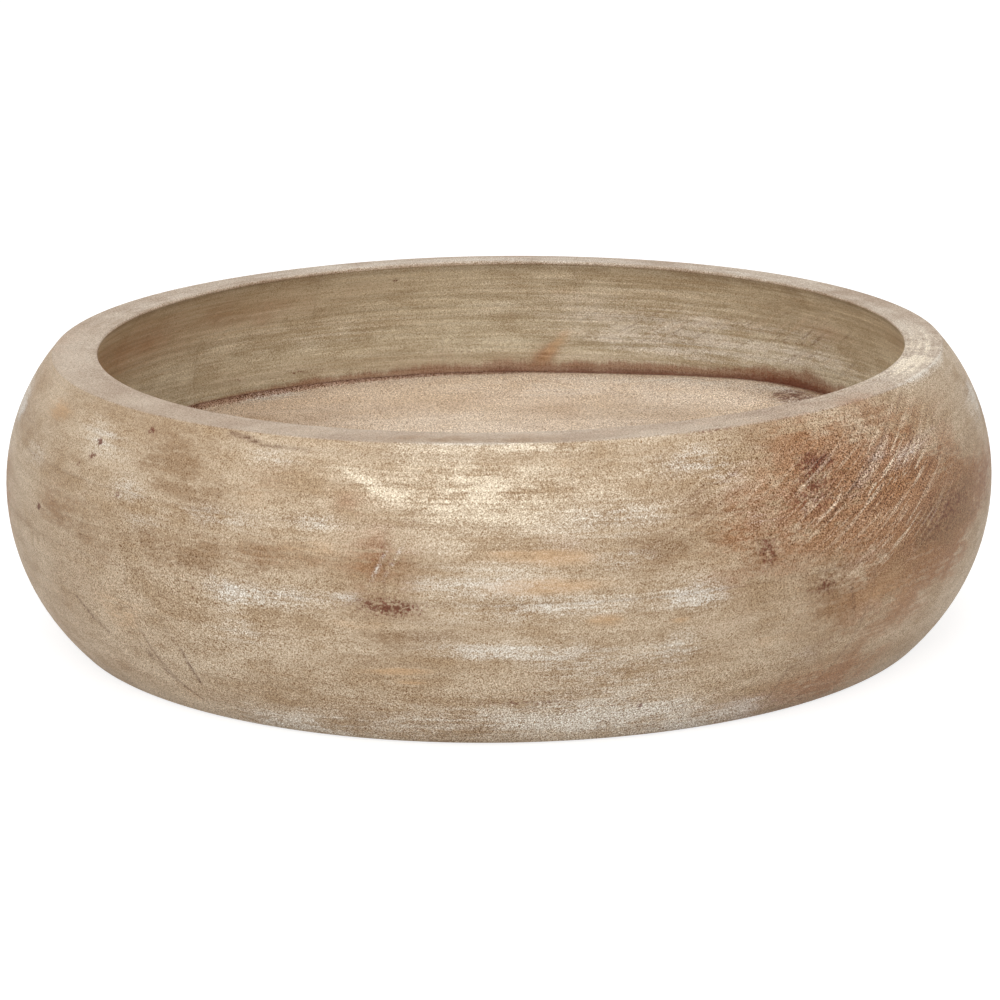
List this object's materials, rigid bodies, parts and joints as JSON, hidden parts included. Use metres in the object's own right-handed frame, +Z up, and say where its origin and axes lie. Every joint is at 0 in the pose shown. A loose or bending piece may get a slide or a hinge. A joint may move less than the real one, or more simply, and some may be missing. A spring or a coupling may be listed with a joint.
{
  "type": "dough bowl",
  "caption": "Round wooden dough bowl with a thick flat base, bulging sides and a wide flat rim, glued up from boards and brick-laid wall segments, limewashed.",
  "frame": {"origin": "middle of the flat underside", "axes": "+Z up along the bowl's axis, +X along the boards of the base, front towards -Y"},
  "size_m": [0.356, 0.356, 0.102],
  "materials": {
    "base_wood": "limewashed, matt",
    "wall_wood": "limewashed, matt",
    "rim_wood": "limewashed, matt"
  },
  "bodies": {
    "root": {"base_board_1": "base_wood", "base_board_2": "base_wood", "base_board_3": "base_wood", "base_board_4": "base_wood", "base_board_5": "base_wood", "base_board_6": "base_wood", "base_board_7": "base_wood", "wall_segment_1": "wall_wood", "wall_segment_2": "wall_wood", "wall_segment_3": "wall_wood", "wall_segment_4": "wall_wood", "wall_segment_5": "wall_wood", "wall_segment_6": "wall_wood", "wall_segment_7": "wall_wood", "wall_segment_8": "wall_wood", "wall_segment_9": "wall_wood", "rim_segment_1": "rim_wood", "rim_segment_2": "rim_wood", "rim_segment_3": "rim_wood", "rim_segment_4": "rim_wood", "rim_segment_5": "rim_wood", "rim_segment_6": "rim_wood", "rim_segment_7": "rim_wood", "rim_segment_8": "rim_wood", "rim_segment_9": "rim_wood"}
  },
  "joints": []
}
